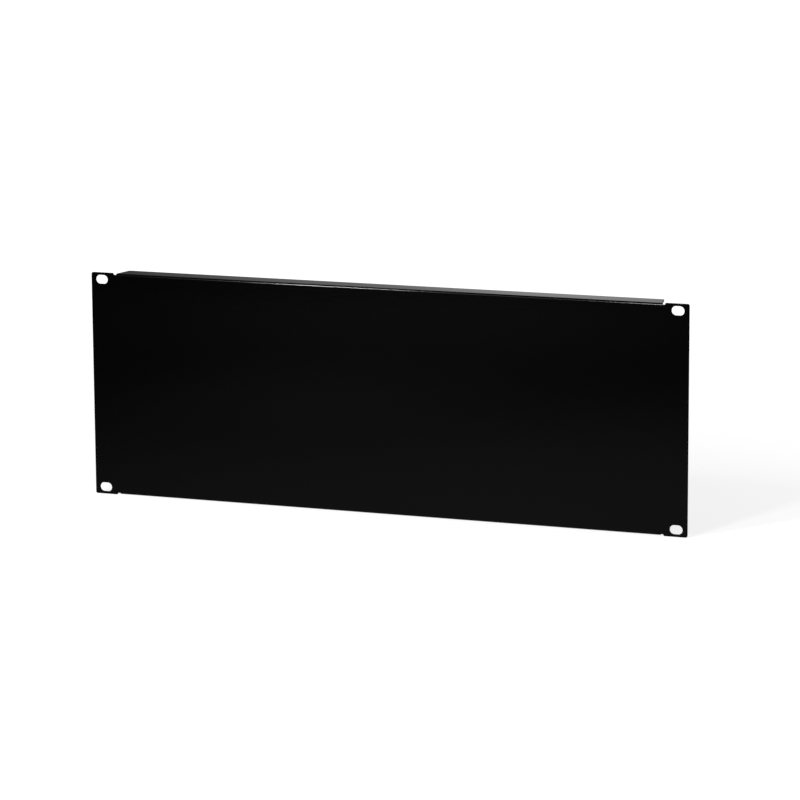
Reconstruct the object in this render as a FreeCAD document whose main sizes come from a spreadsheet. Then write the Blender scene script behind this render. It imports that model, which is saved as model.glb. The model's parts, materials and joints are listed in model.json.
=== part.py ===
"""Rack blanking panel, four units high, for a 19-inch equipment rack.

One sheet of steel, folded once along the top and once along the bottom. The flat
web closes the bay, the two flanges stiffen it, and the ears at its ends carry the
slots for the rack screws.

Frame: +X to the right seen from the front, +Y into the rack, +Z up. The origin is
the centre of the slot pattern on the mounting face, the back of the ears, so the
front of the sheet lies one sheet thickness towards -Y. Millimetres.
"""

import FreeCAD, Part
import math
import os
import Sketcher

NODE = "blanking_panel"

# Driving dimensions: alias, value, what it measures.
DIMENSIONS = (
    ("panel_width", 482.6, "over both ears"),
    ("panel_height", 176.0, "over the ears, top to bottom"),
    ("sheet_thickness", 1.2, "steel sheet with its powder coat"),
    ("flange_depth", 18.0, "front face to the rear edge of a flange"),
    ("flange_span", 440.8, "length of the folded part, between the reliefs"),
    ("flange_inset", 0.4, "from the edge of the ears in to the outside of a flange"),
    ("bend_radius", 0.5, "inside of each fold"),
    ("end_taper", 3.5, "how much a flange shortens at each end towards its rear edge"),
    ("rear_corner_radius", 1.0, "rear corners of the flanges"),
    ("relief_width", 2.5, "notch between a flange and its ear"),
    ("relief_depth", 1.25, "from the edge of an ear in to the bottom of the notch"),
    ("relief_radius", 0.6, "corner of the notch on the side of the ear"),
    ("ear_corner_radius", 1.5, "outer corners of the ears"),
    ("ear_lip_radius", 0.4, "corner where an ear meets its notch"),
    ("ear_edge_round", 0.2, "edges of the ears, front and back, under the coat"),
    ("slot_spacing_wide", 465.1, "slot centres, left to right"),
    ("slot_spacing_high", 165.1, "slot centres, bottom to top"),
    ("slot_length", 10.0, "end to end"),
    ("slot_width", 7.0, "clears an M6 rack screw"),
)

# Roles of the origin planes that the sketches lie on.
FRONT_PLANE = "XZ_Plane"
SIDE_PLANE = "YZ_Plane"
TOP_PLANE = "XY_Plane"

START, END, CENTRE = 1, 2, 3
HORIZONTAL_AXIS, VERTICAL_AXIS = -1, -2
LENGTH_TOLERANCE = 0.01
VOLUME_TOLERANCE = 0.5

doc = FreeCAD.newDocument("RackBlankingPanel")


def make_sheet():
    """The spreadsheet that holds every driving dimension under an alias."""
    sheet = doc.addObject("Spreadsheet::Sheet", "Sizes")
    for row, (alias, value, note) in enumerate(DIMENSIONS, start=1):
        sheet.set(f"A{row}", note)
        sheet.set(f"B{row}", str(value))
        sheet.setAlias(f"B{row}", alias)
    doc.recompute()
    return sheet


def origin_plane(body, role):
    """One of the body's own origin planes, found by its role."""
    return next(item for item in body.Origin.OriginFeatures if item.Role == role)


def new_sketch(body, name, role):
    """An empty sketch laid flat on one of the body's origin planes."""
    sketch = body.newObject("Sketcher::SketchObject", name)
    sketch.AttachmentSupport = [(origin_plane(body, role), "")]
    sketch.MapMode = "FlatFace"
    doc.recompute()
    return sketch


def draw_polygon(sketch, corners):
    """Closed run of lines through the corners, joined end to end; returns their indices."""
    points = [FreeCAD.Vector(x, y, 0) for x, y in corners]
    lines = []
    for here, there in zip(points, points[1:] + points[:1]):
        lines.append(sketch.addGeometry(Part.LineSegment(here, there), False))
    for line, following in zip(lines, lines[1:] + lines[:1]):
        sketch.addConstraint(Sketcher.Constraint("Coincident", line, END, following, START))
    return lines


def level(sketch, kind, *lines):
    """Hold lines horizontal or vertical."""
    for line in lines:
        sketch.addConstraint(Sketcher.Constraint(kind, line))


def bind(sketch, kind, geometry, value, formula):
    """Add a dimension and tie it to a formula of the driving dimensions."""
    index = sketch.addConstraint(Sketcher.Constraint(kind, *geometry, value))
    sketch.setExpression(f"Constraints[{index}]", formula)


def check_sketch(sketch):
    """A sketch has to solve and leave nothing free."""
    doc.recompute()
    if sketch.solve() != 0 or not sketch.FullyConstrained:
        raise RuntimeError(f"sketch {sketch.Name} is not fully constrained")


def check_volume(label, found, expected):
    """Stop when a feature adds or removes another volume than it should."""
    if abs(found - expected) > VOLUME_TOLERANCE:
        raise RuntimeError(f"{label}: volume {found:.2f}, expected {expected:.2f}")


def straight_edges(shape, axis, keep):
    """Names of the straight edges parallel to an axis whose midpoint passes the test."""
    names = []
    for number, edge in enumerate(shape.Edges, start=1):
        if edge.Curve.TypeId != "Part::GeomLine":
            continue
        run = edge.Vertexes[-1].Point - edge.Vertexes[0].Point
        middle = edge.CenterOfMass
        if run.cross(axis).Length < LENGTH_TOLERANCE and keep(middle):
            names.append(f"Edge{number}")
    return names


def near(value, target):
    return abs(value - target) < LENGTH_TOLERANCE


def add_fillet(body, name, names, count, radius_formula):
    """Round the named edges of the body's present shape with a bound radius."""
    if len(names) != count:
        raise RuntimeError(f"{name}: {len(names)} edges found, {count} expected")
    base = body.Tip
    fillet = body.newObject("PartDesign::Fillet", name)
    fillet.Base = (base, names)
    fillet.setExpression("Radius", radius_formula)
    body.Tip = fillet
    doc.recompute()
    return fillet


def add_mirror(body, name, feature):
    """Repeat a feature on the other side of the panel's middle plane."""
    mirror = body.newObject("PartDesign::Mirrored", name)
    mirror.Originals = [feature]
    mirror.MirrorPlane = (origin_plane(body, SIDE_PLANE), [""])
    body.Tip = mirror
    doc.recompute()
    return mirror


def make_channel(body, size):
    """Web and both flanges: the folded section, run along the flange span."""
    sketch = new_sketch(body, "ChannelSection", SIDE_PLANE)
    thickness = size.sheet_thickness
    rear = size.flange_depth - thickness
    outside = size.panel_height / 2 - size.flange_inset
    inside = outside - thickness
    inner = size.bend_radius
    outer = inner + thickness
    web_end = inside - inner

    def line(y0, z0, y1, z1):
        run = Part.LineSegment(FreeCAD.Vector(y0, z0, 0), FreeCAD.Vector(y1, z1, 0))
        return sketch.addGeometry(run, False)

    def arc(centre_z, radius, first, last):
        circle = Part.Circle(FreeCAD.Vector(inner, centre_z, 0), FreeCAD.Vector(0, 0, 1), radius)
        return sketch.addGeometry(Part.ArcOfCircle(circle, first, last), False)

    quarter = math.pi / 2
    top_skin = line(rear, outside, inner, outside)
    top_outer = arc(web_end, outer, quarter, 2 * quarter)
    front = line(-thickness, web_end, -thickness, -web_end)
    low_outer = arc(-web_end, outer, 2 * quarter, 3 * quarter)
    low_skin = line(inner, -outside, rear, -outside)
    low_rear = line(rear, -outside, rear, -inside)
    low_lining = line(rear, -inside, inner, -inside)
    low_inner = arc(-web_end, inner, 2 * quarter, 3 * quarter)
    back = line(0, -web_end, 0, web_end)
    top_inner = arc(web_end, inner, quarter, 2 * quarter)
    top_lining = line(inner, inside, rear, inside)
    top_rear = line(rear, inside, rear, outside)

    smooth = (
        (top_skin, END, top_outer, START),
        (top_outer, END, front, START),
        (front, END, low_outer, START),
        (low_outer, END, low_skin, START),
        (low_lining, END, low_inner, END),
        (low_inner, START, back, START),
        (back, END, top_inner, END),
        (top_inner, START, top_lining, START),
    )
    sharp = (
        (low_skin, END, low_rear, START),
        (low_rear, END, low_lining, START),
        (top_lining, END, top_rear, START),
        (top_rear, END, top_skin, START),
    )
    for join in smooth:
        sketch.addConstraint(Sketcher.Constraint("Tangent", *join))
    for join in sharp:
        sketch.addConstraint(Sketcher.Constraint("Coincident", *join))
    level(sketch, "Horizontal", top_skin, low_skin, top_lining, low_lining)
    level(sketch, "Vertical", front, back, low_rear, top_rear)
    for one, other in ((top_outer, top_inner), (low_outer, low_inner)):
        sketch.addConstraint(Sketcher.Constraint("Coincident", one, CENTRE, other, CENTRE))
    sketch.addConstraint(Sketcher.Constraint("Equal", top_inner, low_inner))
    sketch.addConstraint(
        Sketcher.Constraint("Symmetric", top_rear, END, low_rear, START, HORIZONTAL_AXIS)
    )
    sketch.addConstraint(Sketcher.Constraint("PointOnObject", back, START, VERTICAL_AXIS))
    bind(sketch, "Radius", (top_inner,), inner, "Sizes.bend_radius")
    bind(sketch, "DistanceX", (front, START, back, END), thickness, "Sizes.sheet_thickness")
    bind(sketch, "DistanceX", (front, END, low_rear, START), size.flange_depth, "Sizes.flange_depth")
    bind(
        sketch,
        "DistanceY",
        (low_rear, START, top_rear, END),
        2 * outside,
        "Sizes.panel_height - 2 * Sizes.flange_inset",
    )
    check_sketch(sketch)

    pad = body.newObject("PartDesign::Pad", "FoldedChannel")
    pad.Profile = sketch
    pad.Midplane = True
    pad.setExpression("Length", "Sizes.flange_span")
    doc.recompute()

    flange = (rear - inner) * thickness
    fold = math.pi / 4 * (outer**2 - inner**2)
    section = 2 * web_end * thickness + 2 * flange + 2 * fold
    check_volume("channel", pad.Shape.Volume, section * size.flange_span)
    return pad


def make_ears(body, size):
    """Flat ears that carry the web on past the flanges, with a relief at each fold."""
    sketch = new_sketch(body, "EarOutline", FRONT_PLANE)
    notch = size.flange_span / 2
    lip = notch + size.relief_width
    tip = size.panel_width / 2
    top = size.panel_height / 2
    notch_end = top - size.relief_depth
    corners = (
        (notch, notch_end),
        (notch, -notch_end),
        (lip, -notch_end),
        (lip, -top),
        (tip, -top),
        (tip, top),
        (lip, top),
        (lip, notch_end),
    )
    lines = draw_polygon(sketch, corners)
    inner_end, low_base, low_lip, low_edge, end, top_edge, top_lip, top_base = lines
    level(sketch, "Vertical", low_lip, top_lip)
    level(sketch, "Horizontal", low_base, low_edge, top_edge, top_base)
    for high, low in (((top_edge, START), (low_edge, END)), ((top_base, END), (low_base, START))):
        sketch.addConstraint(Sketcher.Constraint("Symmetric", *high, *low, HORIZONTAL_AXIS))
    sketch.addConstraint(Sketcher.Constraint("Vertical", top_lip, START, low_lip, START))
    origin = (HORIZONTAL_AXIS, START)
    bind(sketch, "DistanceX", (*origin, inner_end, START), notch, "Sizes.flange_span / 2")
    bind(
        sketch,
        "DistanceX",
        (inner_end, START, top_lip, END),
        size.relief_width,
        "Sizes.relief_width",
    )
    bind(sketch, "DistanceX", (*origin, end, END), tip, "Sizes.panel_width / 2")
    bind(sketch, "DistanceY", (end, START, end, END), 2 * top, "Sizes.panel_height")
    bind(
        sketch,
        "DistanceY",
        (top_lip, END, top_lip, START),
        size.relief_depth,
        "Sizes.relief_depth",
    )
    check_sketch(sketch)

    pad = body.newObject("PartDesign::Pad", "RightEar")
    pad.Profile = sketch
    pad.setExpression("Length", "Sizes.sheet_thickness")
    doc.recompute()
    before = pad.BaseFeature.Shape.Volume
    added = 2 * notch_end * size.relief_width + 2 * top * (tip - lip)
    mirror = add_mirror(body, "LeftEar", pad)
    check_volume("ears", mirror.Shape.Volume, before + 2 * added * size.sheet_thickness)
    return mirror


def make_slots(body, size):
    """Four screw slots, long across the panel, two in each ear."""
    sketch = new_sketch(body, "SlotOutlines", FRONT_PLANE)
    radius = size.slot_width / 2
    reach = size.slot_length / 2 - radius
    centre_x = size.slot_spacing_wide / 2
    centre_z = size.slot_spacing_high / 2
    normal = FreeCAD.Vector(0, 0, 1)
    middles = []
    for side in (1, -1):
        z = side * centre_z
        ends = []
        for direction, first in ((1, -math.pi / 2), (-1, math.pi / 2)):
            centre = FreeCAD.Vector(centre_x + direction * reach, z, 0)
            round_end = Part.ArcOfCircle(Part.Circle(centre, normal, radius), first, first + math.pi)
            ends.append(sketch.addGeometry(round_end, False))
        sides = []
        for direction in (1, -1):
            from_x = centre_x + direction * reach
            to_x = centre_x - direction * reach
            edge_z = z + direction * radius
            edge = Part.LineSegment(
                FreeCAD.Vector(from_x, edge_z, 0), FreeCAD.Vector(to_x, edge_z, 0)
            )
            sides.append(sketch.addGeometry(edge, False))
        right, left = ends
        upper, lower = sides
        for join in (
            (right, END, upper, START),
            (upper, END, left, START),
            (left, END, lower, START),
            (lower, END, right, START),
        ):
            sketch.addConstraint(Sketcher.Constraint("Tangent", *join))
        level(sketch, "Horizontal", upper, lower)
        middle = sketch.addGeometry(Part.Point(FreeCAD.Vector(centre_x, z, 0)), True)
        sketch.addConstraint(
            Sketcher.Constraint("Symmetric", right, CENTRE, left, CENTRE, middle, START)
        )
        middles.append(middle)
        bind(sketch, "Radius", (right,), radius, "Sizes.slot_width / 2")
        bind(
            sketch,
            "DistanceX",
            (left, CENTRE, right, CENTRE),
            2 * reach,
            "Sizes.slot_length - Sizes.slot_width",
        )
    high, low = middles
    sketch.addConstraint(Sketcher.Constraint("Symmetric", high, START, low, START, HORIZONTAL_AXIS))
    origin = (HORIZONTAL_AXIS, START)
    bind(sketch, "DistanceX", (*origin, high, START), centre_x, "Sizes.slot_spacing_wide / 2")
    bind(sketch, "DistanceY", (low, START, high, START), 2 * centre_z, "Sizes.slot_spacing_high")
    check_sketch(sketch)

    before = body.Tip.Shape.Volume
    pocket = body.newObject("PartDesign::Pocket", "RightSlots")
    pocket.Profile = sketch
    pocket.Type = "ThroughAll"
    pocket.Midplane = True
    doc.recompute()
    mirror = add_mirror(body, "LeftSlots", pocket)
    area = math.pi * radius**2 + 2 * reach * size.slot_width
    check_volume("slots", mirror.Shape.Volume, before - 4 * area * size.sheet_thickness)
    return mirror


def make_flange_ends(body, size):
    """Slanting ends, which let the flanges pass between the rails of the rack."""
    sketch = new_sketch(body, "FlangeEnd", TOP_PLANE)
    rear = size.flange_depth - size.sheet_thickness
    start = size.bend_radius
    notch = size.flange_span / 2
    beyond = rear + size.sheet_thickness
    slope = size.end_taper / (rear - start)
    corners = (
        (notch, start),
        (notch + size.relief_width, start),
        (notch + size.relief_width, beyond),
        (notch - slope * (beyond - start), beyond),
    )
    near_side, outer_side, far_side, slant = draw_polygon(sketch, corners)
    level(sketch, "Horizontal", near_side, far_side)
    level(sketch, "Vertical", outer_side)
    origin = (HORIZONTAL_AXIS, START)
    bind(sketch, "DistanceX", (*origin, near_side, START), notch, "Sizes.flange_span / 2")
    bind(sketch, "DistanceY", (*origin, near_side, START), start, "Sizes.bend_radius")
    bind(
        sketch,
        "DistanceX",
        (near_side, START, near_side, END),
        size.relief_width,
        "Sizes.relief_width",
    )
    bind(sketch, "DistanceY", (*origin, outer_side, END), beyond, "Sizes.flange_depth")
    bind(
        sketch,
        "DistanceX",
        (slant, START, slant, END),
        slope * (beyond - start),
        "Sizes.end_taper * (Sizes.flange_depth - Sizes.bend_radius)"
        " / (Sizes.flange_depth - Sizes.sheet_thickness - Sizes.bend_radius)",
    )
    check_sketch(sketch)

    before = body.Tip.Shape.Volume
    pocket = body.newObject("PartDesign::Pocket", "RightFlangeEnds")
    pocket.Profile = sketch
    pocket.Type = "ThroughAll"
    pocket.Midplane = True
    doc.recompute()
    mirror = add_mirror(body, "LeftFlangeEnds", pocket)
    area = size.end_taper * (rear - start) / 2
    check_volume("flange ends", mirror.Shape.Volume, before - 4 * area * size.sheet_thickness)
    return mirror


def round_corners(body, size):
    """Corner rounds of the flat blank, then the small round all along the edges of the ears."""
    through = FreeCAD.Vector(0, 1, 0)
    upright = FreeCAD.Vector(0, 0, 1)
    tip = size.panel_width / 2
    top = size.panel_height / 2
    lip = size.flange_span / 2 + size.relief_width
    notch_end = top - size.relief_depth
    rear = size.flange_depth - size.sheet_thickness

    def ear_corner(point):
        return near(abs(point.x), tip) and near(abs(point.z), top)

    def ear_lip(point):
        return near(abs(point.x), lip) and near(abs(point.z), top)

    def relief_corner(point):
        return near(abs(point.x), lip) and near(abs(point.z), notch_end)

    def rear_corner(point):
        return near(point.y, rear) and abs(point.x) > size.flange_span / 4

    def ear_end(point):
        return near(abs(point.x), tip)

    rounds = (
        ("EarCorners", through, ear_corner, "Sizes.ear_corner_radius"),
        ("EarLips", through, ear_lip, "Sizes.ear_lip_radius"),
        ("ReliefCorners", through, relief_corner, "Sizes.relief_radius"),
        ("RearCorners", upright, rear_corner, "Sizes.rear_corner_radius"),
        ("EarEdges", upright, ear_end, "Sizes.ear_edge_round"),
    )
    for name, axis, keep, radius in rounds:
        names = straight_edges(body.Tip.Shape, axis, keep)
        add_fillet(body, name, names, 4, radius)


def check_document():
    """Every object has to be free of errors, and the body one valid solid."""
    doc.recompute()
    for item in doc.Objects:
        if "Invalid" in item.State or "Error" in item.State:
            raise RuntimeError(f"{item.Name}: {item.State}")
    for body in doc.findObjects("PartDesign::Body"):
        shape = body.Shape
        if shape.isNull() or not shape.isValid() or len(shape.Solids) != 1:
            raise RuntimeError(f"{body.Label} is not one valid solid")


def check_size(body, size):
    """The finished panel has to fill the box that the driving dimensions give, to its surfaces."""
    box = body.Shape.optimalBoundingBox(False, False)
    found = (box.XLength, box.YLength, box.ZLength)
    wanted = (size.panel_width, size.flange_depth, size.panel_height)
    for length, target in zip(found, wanted):
        if not near(length, target):
            raise RuntimeError(f"panel measures {found}, expected {wanted}")


def main():
    size = make_sheet()
    body = doc.addObject("PartDesign::Body", "BlankingPanel")
    body.Label = NODE
    body.Placement = FreeCAD.Placement()
    make_channel(body, size)
    make_ears(body, size)
    make_slots(body, size)
    make_flange_ends(body, size)
    round_corners(body, size)
    check_document()
    check_size(body, size)
    os.makedirs("parts", exist_ok=True)
    body.Shape.exportStep(f"parts/{NODE}.step")
    print(f"{NODE}: {body.Shape.Volume / 1000:.2f} cm3, {len(body.Shape.Faces)} faces")


main()
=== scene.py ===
"""Rack blanking panel: one folded and powder-coated steel sheet, and the stage it stands on.

Metres. +X is to the right seen from the front, +Y goes into the rack, +Z is up, and the
origin is the centre of the slot pattern on the back of the ears.
"""

import json
import math

import bmesh
import bpy
from bpy.props import FloatProperty, FloatVectorProperty, PointerProperty
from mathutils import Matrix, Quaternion, Vector


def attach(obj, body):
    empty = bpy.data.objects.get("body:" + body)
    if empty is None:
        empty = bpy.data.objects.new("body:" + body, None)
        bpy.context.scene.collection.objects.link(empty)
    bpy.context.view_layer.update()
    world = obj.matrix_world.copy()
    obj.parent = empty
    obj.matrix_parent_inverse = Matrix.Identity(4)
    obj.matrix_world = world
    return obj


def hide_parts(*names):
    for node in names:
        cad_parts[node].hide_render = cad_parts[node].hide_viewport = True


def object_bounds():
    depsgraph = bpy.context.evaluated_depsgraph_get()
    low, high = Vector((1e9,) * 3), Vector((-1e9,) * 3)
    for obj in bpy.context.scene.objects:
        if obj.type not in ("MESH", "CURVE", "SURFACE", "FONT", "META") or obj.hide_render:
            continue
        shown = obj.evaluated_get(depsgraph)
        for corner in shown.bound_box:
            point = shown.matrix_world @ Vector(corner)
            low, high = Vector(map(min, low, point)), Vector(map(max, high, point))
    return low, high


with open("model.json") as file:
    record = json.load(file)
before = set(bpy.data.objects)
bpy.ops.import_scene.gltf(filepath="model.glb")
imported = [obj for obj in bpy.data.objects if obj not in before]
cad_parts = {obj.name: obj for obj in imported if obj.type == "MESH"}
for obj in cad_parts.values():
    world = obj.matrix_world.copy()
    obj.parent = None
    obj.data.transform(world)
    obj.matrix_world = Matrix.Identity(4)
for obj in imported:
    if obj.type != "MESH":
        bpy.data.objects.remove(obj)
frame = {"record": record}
CAD_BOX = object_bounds()

bl_info = {
    "name": "Rack Blanking Panel",
    "version": (1, 0, 0),
    "blender": (4, 5, 0),
    "location": "3D View > Sidebar > Blanking Panel",
    "description": "Models a folded, slotted and powder-coated blanking panel for a 19-inch rack",
    "category": "Add Mesh",
}

NODE = "blanking_panel"

LOW, HIGH = CAD_BOX
SLOTS = frame["record"]["mounts"][0]["dims"]
FLOOR_LEVEL = LOW.z
FLOOR_HALF_WIDTH = 6

MM = 0.001
QUARTER = math.pi / 2
THROUGH_SHEET = (0, -1, 0)
ALONG_PANEL = (1, 0, 0)
UPRIGHT = (0, 0, 1)
FOLD_STEPS = 15
ARC_STEP = math.radians(9)
ARC_LEAST_STEPS = 2
MERGE_DISTANCE = 1e-6
NOTCH_TOLERANCE = math.radians(0.5)
EDGE_ROUND_STEPS = 3
SHARP_ANGLE = math.radians(30)

# Where a Mix node keeps its two numbers, among its inputs for other kinds of data.
MIX_FIRST, MIX_SECOND = 2, 3

# How far the coat's roughness strays from its mean, and how many such patches go to a metre.
GLOSS_VARIATION = 0.02
GLOSS_PATCHES = 9.0

# Name, place, what it points at, width, height, radiance.
LAMPS = (
    ("key_softbox", (-0.57, -1.35, 1.05), (0, 0, 0), 0.55, 0.75, 1.6),
    ("left_strip", (-0.583, -1.16, 0.87), (-0.053, 0, 0.087), 0.035, 0.6, 170.0),
    ("right_strip", (-0.135, -1.16, 0.87), (0.235, 0, 0.087), 0.14, 0.6, 36.0),
)

# The room that the coat mirrors: an even level that falls off towards a dim ceiling, a
# bright tall window and a dim corner. Each patch: direction, reach, what it adds.
ROOM_LEVEL = 0.32
CEILING_SHARE = 0.15
CEILING_START, CEILING_END = 0.2, 0.45
ROOM_PATCHES = (
    ((-0.300, 0.941, 0), 0.065, 0.32),
    ((-0.448, 0.879, 0), 0.110, -0.30),
)
LEVEL_ONLY = (1, 1, 0)

# The floor as the coat mirrors it is painted, not lit: a dim even glow with painted pools of
# light. Each: middle, radius, what it adds.
FLOOR_LEVEL_MIRRORED = 0.01
PAINTED_LIGHT_POOLS = (
    ((0.09, -0.02, 0), 0.80, 0.30),
    ((-0.27, -0.87, 0), 0.48, 0.19),
    ((-0.24, -0.46, 0), 0.27, 0.13),
)

# The floor's even white grows to its far share over this distance from the panel.
GLOW_REACH = 1.6
GLOW_FAR = 0.9

# Where the camera stands: degrees round the panel and above it, metres from the point
# that it looks at, and its lens in millimetres.
CAMERA_AZIMUTH = 20.36
CAMERA_ELEVATION = 10.99
CAMERA_ROLL = -0.33
CAMERA_DISTANCE = 2.814
CAMERA_AIM = (0.0143, -0.0012, 0.0023)
CAMERA_LENS = 166.8


def length(name, description, default):
    """A size that the sidebar shows in the scene's own unit."""
    return FloatProperty(
        name=name,
        description=description,
        default=default,
        min=0,
        precision=5,
        subtype="DISTANCE",
        unit="LENGTH",
    )


class SheetSizes(bpy.types.PropertyGroup):
    """Sizes of the folded sheet. The outside sizes and the slots come from the CAD frame."""

    width: length("Width", "Over both ears", HIGH.x - LOW.x)
    height: length("Height", "Over the ears, top to bottom", HIGH.z - LOW.z)
    depth: length("Depth", "Front face to the rear edge of a flange", HIGH.y - LOW.y)
    thickness: length("Thickness", "Steel sheet with its powder coat", -LOW.y)
    flange_span: length("Flange Span", "Folded part between the reliefs", 440.8 * MM)
    flange_inset: length("Flange Inset", "Edge of the ears in to a flange", 0.4 * MM)
    bend_radius: length("Bend Radius", "Inside of each fold", 0.5 * MM)
    end_taper: length("End Taper", "How much a flange end slants to the rear", 3.5 * MM)
    rear_corner: length("Rear Corner", "Radius of a flange's rear corners", 1.0 * MM)
    relief_width: length("Relief Width", "Notch between a flange and its ear", 2.5 * MM)
    relief_depth: length("Relief Depth", "Edge of the ears in to the notch's bottom", 1.25 * MM)
    relief_radius: length("Relief Radius", "Notch corner beside the ear", 0.6 * MM)
    ear_corner: length("Ear Corner", "Radius of the outer corners", 1.5 * MM)
    ear_lip: length("Ear Lip", "Radius where an ear meets its notch", 0.4 * MM)
    slot_length: length("Slot Length", "End to end", SLOTS["slot_length_mm"] * MM)
    slot_width: length("Slot Width", "Clears a rack screw", 2 * SLOTS["hole_r_mm"] * MM)
    slots_wide: length("Slots Wide", "Slot centres, across", SLOTS["spacing_x_mm"] * MM)
    slots_high: length("Slots High", "Slot centres, upright", SLOTS["spacing_y_mm"] * MM)
    edge_round: length("Edge Round", "Radius of the cut edges under the coat", 0.2 * MM)


class CoatFinish(bpy.types.PropertyGroup):
    """Colour and surface of the powder coat."""

    colour: FloatVectorProperty(
        name="Colour",
        description="Body colour of the coat",
        subtype="COLOR",
        size=3,
        min=0,
        max=1,
        default=(0.0008, 0.0008, 0.0008),
    )
    ior: FloatProperty(
        name="IOR",
        description="Refractive index, which sets how much the coat mirrors",
        default=1.3,
        min=1,
        max=3,
    )
    roughness: FloatProperty(
        name="Roughness",
        description="Mean roughness of the coat",
        default=0.09,
        min=0,
        max=1,
        subtype="FACTOR",
    )
    peel_size: length("Peel Size", "Width of an orange-peel dimple", 2.6 * MM)
    peel_depth: length("Peel Depth", "Relief of the orange peel", 0.036 * MM)
    grain_size: length("Grain Size", "Width of the fine powder grain", 0.5 * MM)
    grain_depth: length("Grain Depth", "Relief of the fine powder grain", 0.002 * MM)


class StageLook(bpy.types.PropertyGroup):
    """Floor, surroundings and lamps."""

    floor_colour: FloatVectorProperty(
        name="Floor Colour",
        description="Colour of the floor in its own light",
        subtype="COLOR",
        size=3,
        min=0,
        max=1,
        default=(0.8, 0.8, 0.8),
    )
    floor_glow: FloatProperty(
        name="Floor Glow",
        description="Share of even white in what the eye sees of the floor",
        default=0.62,
        min=0,
        max=1,
        subtype="FACTOR",
    )
    floor_white: FloatProperty(
        name="Floor White",
        description="Strength of that even white",
        default=1.25,
        min=0,
    )
    ambient: FloatProperty(
        name="Ambient",
        description="Even light from the surroundings",
        default=0.35,
        min=0,
    )
    lamp_level: FloatProperty(
        name="Lamp Level",
        description="Multiplies the light of every lamp",
        default=1,
        min=0,
    )


class Pencil:
    """Draws one outline in a bmesh: straight lines and spun arcs, end to end."""

    def __init__(self, bm, start):
        self.bm = bm
        self.before = set(bm.edges)
        self.first = bm.verts.new(start)
        self.last = self.first

    def line(self, end):
        """A straight edge to a point."""
        grown = bmesh.ops.extrude_vert_indiv(self.bm, verts=[self.last])
        self.last = grown["verts"][0]
        self.last.co = end

    def arc(self, centre, axis, angle):
        """An arc about an axis through a centre."""
        swept = bmesh.ops.spin(
            self.bm,
            geom=[self.last],
            cent=centre,
            axis=axis,
            angle=angle,
            steps=max(ARC_LEAST_STEPS, math.ceil(abs(angle) / ARC_STEP)),
        )
        self.last = swept["geom_last"][0]

    def join(self):
        """Closes the outline and returns its edges."""
        self.bm.edges.new((self.last, self.first))
        return [edge for edge in self.bm.edges if edge not in self.before]


def fill(bm, edges):
    """Faces across a drawn outline, round the holes inside it."""
    bmesh.ops.triangle_fill(bm, edges=edges, use_beauty=True, normal=THROUGH_SHEET)


def fold_levels(size):
    """Height and depth of the fold's outer skin at each step, up to the notch's bottom.

    The fold turns back by the same angle at each step, and the notch ends on a step, so
    that the bent web and the flat ear meet along whole edges.
    """
    radius = size.thickness + size.bend_radius
    web_end = size.height / 2 - size.flange_inset - radius
    notch_end = size.height / 2 - size.relief_depth
    turn = math.asin((notch_end - web_end) / radius)
    steps = round(turn / QUARTER * FOLD_STEPS)
    if steps < 1 or abs(turn - steps * QUARTER / FOLD_STEPS) > NOTCH_TOLERANCE:
        raise ValueError("the notch's bottom has to lie level with a step of the fold")
    angles = [index * QUARTER / FOLD_STEPS for index in range(steps + 1)]
    return [
        (web_end + radius * math.sin(angle), size.bend_radius - radius * math.cos(angle))
        for angle in angles
    ]


def draw_plate(bm, size):
    """Upper right quarter of the flat front: web, ear, relief notch and one slot."""
    front = -size.thickness
    tip = size.width / 2
    top = size.height / 2
    notch = size.flange_span / 2
    lip = notch + size.relief_width
    corner = lip - size.relief_radius
    levels = [height for height, depth in fold_levels(size)]

    def at(x, z):
        return Vector((x, front, z))

    rim = Pencil(bm, at(0, 0))
    rim.line(at(tip, 0))
    rim.line(at(tip, top - size.ear_corner))
    rim.arc(at(tip - size.ear_corner, top - size.ear_corner), THROUGH_SHEET, QUARTER)
    rim.line(at(lip + size.ear_lip, top))
    rim.arc(at(lip + size.ear_lip, top - size.ear_lip), THROUGH_SHEET, QUARTER)
    rim.line(at(lip, levels[-1] + size.relief_radius))
    rim.arc(at(corner, levels[-1] + size.relief_radius), THROUGH_SHEET, -QUARTER)
    for level in reversed(levels[:-1]):
        rim.line(at(corner, level))
    rim.line(at(notch, levels[0]))
    rim.line(at(0, levels[0]))
    outline = rim.join()

    reach = (size.slot_length - size.slot_width) / 2
    radius = size.slot_width / 2
    x = size.slots_wide / 2
    z = size.slots_high / 2
    slot = Pencil(bm, at(x + reach, z - radius))
    slot.arc(at(x + reach, z), THROUGH_SHEET, 2 * QUARTER)
    slot.line(at(x - reach, z + radius))
    slot.arc(at(x - reach, z), THROUGH_SHEET, 2 * QUARTER)
    fill(bm, outline + slot.join())


def draw_notch_base(bm, size):
    """The strip under the notch, where the bent web runs out into the flat ear."""
    notch = size.flange_span / 2
    corner = notch + size.relief_width - size.relief_radius
    bent = [Vector((notch, depth, height)) for height, depth in fold_levels(size)]
    flat = [Vector((corner, -size.thickness, height)) for height, depth in fold_levels(size)]
    rim = Pencil(bm, flat[0])
    for point in flat[1:] + bent[::-1]:
        rim.line(point)
    fill(bm, rim.join())


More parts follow.
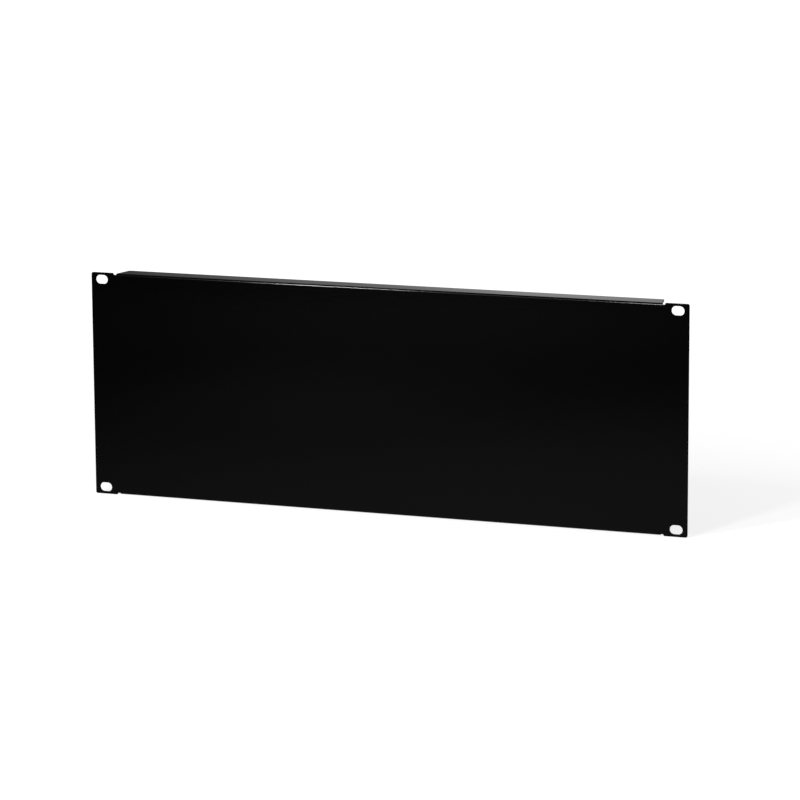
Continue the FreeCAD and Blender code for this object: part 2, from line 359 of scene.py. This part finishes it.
def fold_flange(bm, size):
    """The fold, swept from the web's upper edge, and the flat flange behind it."""
    notch = size.flange_span / 2
    outside = size.height / 2 - size.flange_inset
    web_end = outside - size.thickness - size.bend_radius
    rear = size.depth - size.thickness
    edge = next(
        edge
        for edge in bm.edges
        if all(abs(vert.co.z - web_end) < MERGE_DISTANCE for vert in edge.verts)
        and min(vert.co.x for vert in edge.verts) < MERGE_DISTANCE
    )
    swept = bmesh.ops.spin(
        bm,
        geom=[edge, *edge.verts],
        cent=(0, size.bend_radius, web_end),
        axis=ALONG_PANEL,
        angle=-QUARTER,
        steps=FOLD_STEPS,
    )
    near_middle, near_end = sorted(
        (item for item in swept["geom_last"] if isinstance(item, bmesh.types.BMVert)),
        key=lambda vert: vert.co.x,
    )

    slant = math.atan2(size.end_taper, rear - size.bend_radius)
    turn = QUARTER - slant
    corner = Vector((notch - size.end_taper, rear, outside))
    along = Vector((-math.sin(slant), math.cos(slant), 0))
    across = Vector((-math.cos(slant), -math.sin(slant), 0))
    start = corner - along * size.rear_corner * math.tan(turn / 2)
    rim = Pencil(bm, near_end.co)
    rim.line(start)
    rim.arc(start + across * size.rear_corner, UPRIGHT, turn)
    rim.line((0, rear, outside))
    rim.line(near_middle.co)
    bmesh.ops.contextual_create(bm, geom=rim.join())


def sheet_mesh(size):
    """Outer skin of the whole sheet: one quarter, mirrored to the left and then down."""
    bm = bmesh.new()
    draw_plate(bm, size)
    draw_notch_base(bm, size)
    fold_flange(bm, size)
    for axis in ("X", "Z"):
        geometry = bm.verts[:] + bm.edges[:] + bm.faces[:]
        bmesh.ops.mirror(bm, geom=geometry, axis=axis, merge_dist=MERGE_DISTANCE)
    bmesh.ops.remove_doubles(bm, verts=bm.verts, dist=MERGE_DISTANCE)
    bmesh.ops.recalc_face_normals(bm, faces=bm.faces)
    foremost = min(bm.faces, key=lambda face: face.calc_center_median().y)
    if foremost.normal.y > 0:
        bmesh.ops.reverse_faces(bm, faces=bm.faces)
    for face in bm.faces:
        face.smooth = True
    mesh = bpy.data.meshes.new("folded_sheet")
    bm.to_mesh(mesh)
    bm.free()
    return mesh


def finish_sheet(piece, size):
    """Gives the skin its thickness and rounds the cut edges."""
    wall = piece.modifiers.new("sheet_thickness", "SOLIDIFY")
    wall.thickness = size.thickness
    wall.offset = -1
    wall.use_even_offset = True
    wall.use_quality_normals = True
    rounding = piece.modifiers.new("edge_round", "BEVEL")
    rounding.width = size.edge_round
    rounding.segments = EDGE_ROUND_STEPS
    rounding.limit_method = "ANGLE"
    rounding.angle_limit = SHARP_ANGLE
    rounding.use_clamp_overlap = False
    rounding.loop_slide = False
    shading = piece.modifiers.new("flat_faces", "WEIGHTED_NORMAL")
    shading.mode = "FACE_AREA"


class Nodes:
    """Adds and joins the nodes of one shader tree."""

    def __init__(self, tree):
        self.tree = tree

    def add(self, kind, *values, settings=None, **named):
        """A new node, with its first inputs in order and other inputs by their names."""
        node = self.tree.nodes.new(kind)
        for name, value in (settings or {}).items():
            setattr(node, name, value)
        for key, value in (*enumerate(values), *named.items()):
            self.put(node, key, value)
        return node

    def put(self, node, key, value):
        """Gives an input a value, or joins it to another node's output."""
        socket = node.inputs[key]
        if isinstance(value, bpy.types.NodeSocket):
            self.tree.links.new(value, socket)
        else:
            socket.default_value = value

    def math(self, operation, *values):
        """A number worked out from others."""
        return self.add("ShaderNodeMath", *values, settings={"operation": operation}).outputs[0]

    def vector(self, operation, output, *values):
        """A vector or a length worked out from vectors."""
        node = self.add("ShaderNodeVectorMath", *values, settings={"operation": operation})
        return node.outputs[output]


def powder_coat(finish):
    """Black powder coat: near-black body, a soft gloss and a fine orange peel."""
    material = bpy.data.materials.new("black_powder_coat")
    material.use_nodes = True
    material.diffuse_color = (*finish.colour, 1)
    tree = Nodes(material.node_tree)
    shader = material.node_tree.nodes["Principled BSDF"]
    place = tree.add("ShaderNodeTexCoord").outputs["Object"]
    peel = tree.add(
        "ShaderNodeTexNoise", Vector=place, Scale=1 / finish.peel_size, Detail=1.0, Roughness=0.4
    )
    grain = tree.add(
        "ShaderNodeTexNoise", Vector=place, Scale=1 / finish.grain_size, Detail=2.0, Roughness=0.6
    )
    patches = tree.add(
        "ShaderNodeTexNoise", Vector=place, Scale=GLOSS_PATCHES, Detail=3.0, Roughness=0.55
    )
    gloss = tree.add("ShaderNodeMapRange", Value=patches.outputs[0])
    tree.put(gloss, "To Min", finish.roughness - GLOSS_VARIATION)
    tree.put(gloss, "To Max", finish.roughness + GLOSS_VARIATION)
    grain_share = finish.grain_depth / finish.peel_depth
    height = tree.math("MULTIPLY_ADD", grain.outputs[0], grain_share, peel.outputs[0])
    bump = tree.add("ShaderNodeBump", Strength=1.0, Distance=finish.peel_depth, Height=height)
    tree.put(shader, "Base Color", (*finish.colour, 1))
    tree.put(shader, "IOR", finish.ior)
    tree.put(shader, "Roughness", gloss.outputs[0])
    tree.put(shader, "Normal", bump.outputs[0])
    return material


def seen_rays(tree):
    """One mask for what the eye sees, and one for what a mirror or a glass shows."""
    path = tree.add("ShaderNodeLightPath").outputs
    mirror = tree.math("MAXIMUM", path["Is Glossy Ray"], path["Is Transmission Ray"])
    return path["Is Camera Ray"], mirror


def choose(tree, share, without, full):
    """A number that goes from one value to the other with the share."""
    mix = tree.add("ShaderNodeMix", share, settings={"data_type": "FLOAT"})
    tree.put(mix, MIX_FIRST, without)
    tree.put(mix, MIX_SECOND, full)
    return mix.outputs[0]


def ramp(tree, value, low, high, at_low, at_high):
    """A number that eases from one value to another as an input runs from low to high."""
    smooth = {"interpolation_type": "SMOOTHSTEP"}
    node = tree.add("ShaderNodeMapRange", value, low, high, at_low, at_high, settings=smooth)
    return node.outputs[0]


def pools(tree, place, level, patches):
    """An even level with soft round patches that brighten or dim it."""
    for middle, radius, gain in patches:
        distance = tree.vector("DISTANCE", "Value", place, middle)
        level = tree.math("ADD", ramp(tree, distance, 0, radius, gain, 0), level)
    return level


def floor_mesh():
    """One level square that the panel stands on."""
    bm = bmesh.new()
    bmesh.ops.create_grid(bm, x_segments=1, y_segments=1, size=FLOOR_HALF_WIDTH)
    bmesh.ops.translate(bm, verts=bm.verts, vec=(0, 0, FLOOR_LEVEL))
    mesh = bpy.data.meshes.new("floor")
    bm.to_mesh(mesh)
    bm.free()
    return mesh


def floor_material(look):
    """Pale floor that reads white, with the object's shadow left on it."""
    material = bpy.data.materials.new("studio_floor")
    material.use_nodes = True
    tree = Nodes(material.node_tree)
    shader = material.node_tree.nodes["Principled BSDF"]
    output = material.node_tree.nodes["Material Output"]
    tree.put(shader, "Base Color", (*look.floor_colour, 1))
    tree.put(shader, "Roughness", 0.9)
    tree.put(shader, "Specular IOR Level", 0.0)
    eye, mirror = seen_rays(tree)
    place = tree.add("ShaderNodeTexCoord").outputs["Object"]
    # In the coat's reflections the floor shows only painted light: a dim even glow with painted
    # pools of light.
    mirrored = pools(tree, place, FLOOR_LEVEL_MIRRORED, PAINTED_LIGHT_POOLS)
    distance = tree.vector("LENGTH", "Value", place)
    white = ramp(tree, distance, 0, GLOW_REACH, look.floor_glow, GLOW_FAR)
    share = choose(tree, mirror, tree.math("MULTIPLY", eye, white), 1.0)
    # Glow strength: even white for the eye, and the painted light pools for the coat's
    # reflections.
    level = choose(tree, mirror, look.floor_white, mirrored)
    glow = tree.add("ShaderNodeEmission", Strength=level)
    mix = tree.add("ShaderNodeMixShader", share, shader.outputs[0], glow.outputs[0])
    tree.put(output, "Surface", mix.outputs[0])
    return material


def surroundings(look):
    """White behind the object, and in its coat a room with one tall bright window."""
    world = bpy.data.worlds.new("studio_room")
    bpy.context.scene.world = world
    world.use_nodes = True
    tree = Nodes(world.node_tree)
    background = world.node_tree.nodes["Background"]
    eye, mirror = seen_rays(tree)
    direction = tree.add("ShaderNodeTexCoord").outputs["Generated"]
    height = tree.add("ShaderNodeSeparateXYZ", Vector=direction).outputs["Z"]
    around = tree.vector("MULTIPLY", "Vector", direction, LEVEL_ONLY)
    walls = pools(tree, around, ROOM_LEVEL, ROOM_PATCHES)
    dimming = ramp(tree, height, CEILING_START, CEILING_END, 1.0, CEILING_SHARE)
    room = tree.math("MULTIPLY", walls, dimming)
    level = choose(tree, eye, choose(tree, mirror, look.ambient, room), 1.0)
    tree.put(background, "Color", (1, 1, 1, 1))
    tree.put(background, "Strength", level)


def turned_to(direction, roll=0.0):
    """Rotation whose -Z looks along a direction, with +Y up, then rolled."""
    return direction.to_track_quat("-Z", "Y") @ Quaternion((0, 0, 1), roll)


def place_camera():
    """The camera that looks at the panel from its right, a little above it."""
    data = bpy.data.cameras.new("camera")
    camera = bpy.data.objects.new("camera", data)
    bpy.context.scene.collection.objects.link(camera)
    azimuth = math.radians(CAMERA_AZIMUTH)
    elevation = math.radians(CAMERA_ELEVATION)
    back = Vector(
        (
            math.sin(azimuth) * math.cos(elevation),
            -math.cos(azimuth) * math.cos(elevation),
            math.sin(elevation),
        )
    )
    camera.location = Vector(CAMERA_AIM) + back * CAMERA_DISTANCE
    camera.rotation_mode = "QUATERNION"
    camera.rotation_quaternion = turned_to(-back, math.radians(CAMERA_ROLL))
    data.lens = CAMERA_LENS
    bpy.context.scene.camera = camera


def place_lamp(name, place, aim, width, height, radiance):
    """Area lamp of a given radiance, which shows in the coat and not in the camera."""
    data = bpy.data.lights.new(name, "AREA")
    data.shape = "RECTANGLE"
    data.size = width
    data.size_y = height
    data.energy = radiance * math.pi * width * height
    lamp = bpy.data.objects.new(name, data)
    bpy.context.scene.collection.objects.link(lamp)
    lamp.location = place
    lamp.rotation_mode = "QUATERNION"
    lamp.rotation_quaternion = turned_to(Vector(aim) - Vector(place))
    lamp.visible_camera = False


class RACKPANEL_OT_folded_sheet(bpy.types.Operator):
    """Model the folded, slotted and powder-coated sheet"""

    bl_idname = "rackpanel.folded_sheet"
    bl_label = "Folded Sheet"

    def execute(self, context):
        size = context.scene.rackpanel_sheet
        piece = bpy.data.objects.new("panel_sheet", sheet_mesh(size))
        context.scene.collection.objects.link(piece)
        finish_sheet(piece, size)
        piece.data.materials.append(powder_coat(context.scene.rackpanel_coat))
        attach(piece, "root")
        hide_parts(NODE)
        return {"FINISHED"}


class RACKPANEL_OT_stage(bpy.types.Operator):
    """Lay the floor, set the lamps and the surroundings, and place the camera"""

    bl_idname = "rackpanel.stage"
    bl_label = "Stage"

    def execute(self, context):
        look = context.scene.rackpanel_stage
        floor = bpy.data.objects.new("floor", floor_mesh())
        context.scene.collection.objects.link(floor)
        floor.data.materials.append(floor_material(look))
        for name, place, aim, width, height, radiance in LAMPS:
            place_lamp(name, place, aim, width, height, radiance * look.lamp_level)
        surroundings(look)
        place_camera()
        context.scene.view_settings.view_transform = "Standard"
        return {"FINISHED"}


class RACKPANEL_PT_sidebar(bpy.types.Panel):
    """Sizes, finish and stage of the blanking panel"""

    bl_idname = "RACKPANEL_PT_sidebar"
    bl_label = "Blanking Panel"
    bl_space_type = "VIEW_3D"
    bl_region_type = "UI"
    bl_category = "Blanking Panel"

    def draw(self, context):
        for group, operator in (
            (context.scene.rackpanel_sheet, RACKPANEL_OT_folded_sheet),
            (context.scene.rackpanel_coat, None),
            (context.scene.rackpanel_stage, RACKPANEL_OT_stage),
        ):
            column = self.layout.column(align=True)
            for name in group.bl_rna.properties.keys():
                if name not in ("rna_type", "name"):
                    column.prop(group, name)
            if operator:
                column.operator(operator.bl_idname)


CLASSES = (
    SheetSizes,
    CoatFinish,
    StageLook,
    RACKPANEL_OT_folded_sheet,
    RACKPANEL_OT_stage,
    RACKPANEL_PT_sidebar,
)


def register():
    for item in CLASSES:
        bpy.utils.register_class(item)
    bpy.types.Scene.rackpanel_sheet = PointerProperty(type=SheetSizes)
    bpy.types.Scene.rackpanel_coat = PointerProperty(type=CoatFinish)
    bpy.types.Scene.rackpanel_stage = PointerProperty(type=StageLook)


def unregister():
    del bpy.types.Scene.rackpanel_sheet
    del bpy.types.Scene.rackpanel_coat
    del bpy.types.Scene.rackpanel_stage
    for item in reversed(CLASSES):
        bpy.utils.unregister_class(item)


def main():
    register()
    bpy.ops.rackpanel.folded_sheet()
    bpy.ops.rackpanel.stage()


if __name__ == "__main__":
    main()
